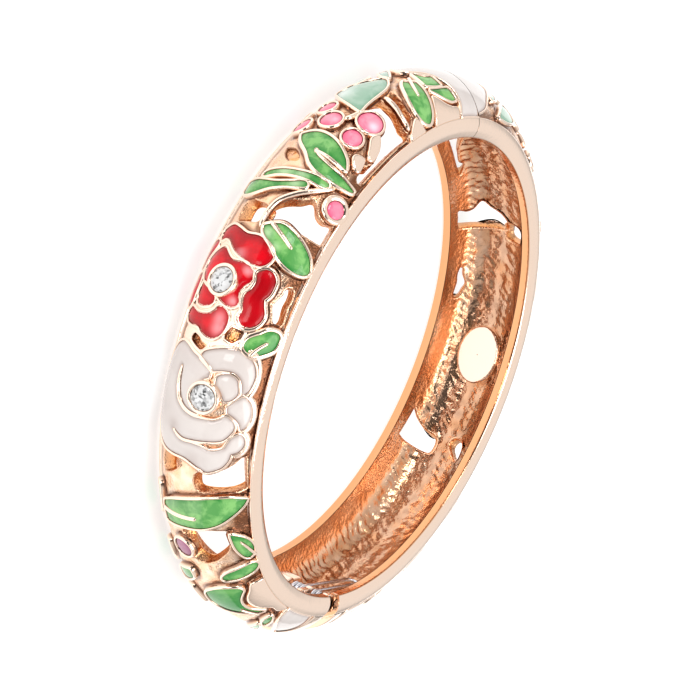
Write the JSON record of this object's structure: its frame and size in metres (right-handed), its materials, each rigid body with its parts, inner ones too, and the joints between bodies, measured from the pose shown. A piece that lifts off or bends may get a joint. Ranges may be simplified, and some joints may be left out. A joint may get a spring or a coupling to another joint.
{
  "type": "hinged enamel bangle",
  "caption": "Hinged bangle of two pierced, domed cast halves with raised flowers, leaves and berries filled with enamel, two set stones on each half and a sprung hinge",
  "frame": {"origin": "on the ring's axis, in the plane of the lower rim that the bangle lies on", "axes": "+Z along the ring's axis, away from the surface it lies on; +X to the hinge, -X to the closing seam; -Y to the front half, +Y to the back half"},
  "size_m": [0.0709, 0.0726, 0.0135],
  "materials": {
    "rose_gold_metal": "polished rose gold tone plating on cast zinc alloy, left as cast on the inside",
    "steel": "bright steel wire and pin",
    "white_enamel": "glossy white enamel with a faint pink grey cast",
    "red_enamel": "glossy clear red enamel",
    "green_enamel": "glossy cloudy bright green enamel",
    "mint_enamel": "glossy pale mint enamel",
    "pink_enamel": "glossy pink enamel with pale middles",
    "lilac_enamel": "glossy lilac enamel",
    "cut_stone": "clear faceted rhinestone"
  },
  "bodies": {
    "front": {"front_half": "rose_gold_metal", "front_end_panels": "white_enamel", "front_rose_petals": "white_enamel", "front_red_petals": "red_enamel", "front_green_leaves": "green_enamel", "front_mint_leaf": "mint_enamel", "front_pink_berries": "pink_enamel", "front_lilac_berry": "lilac_enamel", "front_red_flower_stone": "cut_stone", "front_rose_stone": "cut_stone"},
    "back": {"back_half": "rose_gold_metal", "hinge_pin": "steel", "hinge_spring": "steel", "back_end_panels": "white_enamel", "back_rose_petals": "white_enamel", "back_red_petals": "red_enamel", "back_green_leaves": "green_enamel", "back_mint_leaf": "mint_enamel", "back_pink_berries": "pink_enamel", "back_lilac_berry": "lilac_enamel", "back_red_flower_stone": "cut_stone", "back_rose_stone": "cut_stone"}
  },
  "joints": [
    {"name": "hinge", "type": "hinge", "parent": "front", "child": "back", "pos_m": [0.0304, 0, 0.00675], "axis": [0, 0, -1], "range_deg": [0, 40], "stiffness_Nm_per_rad": 0.02, "springref_deg": -20.05}
  ]
}
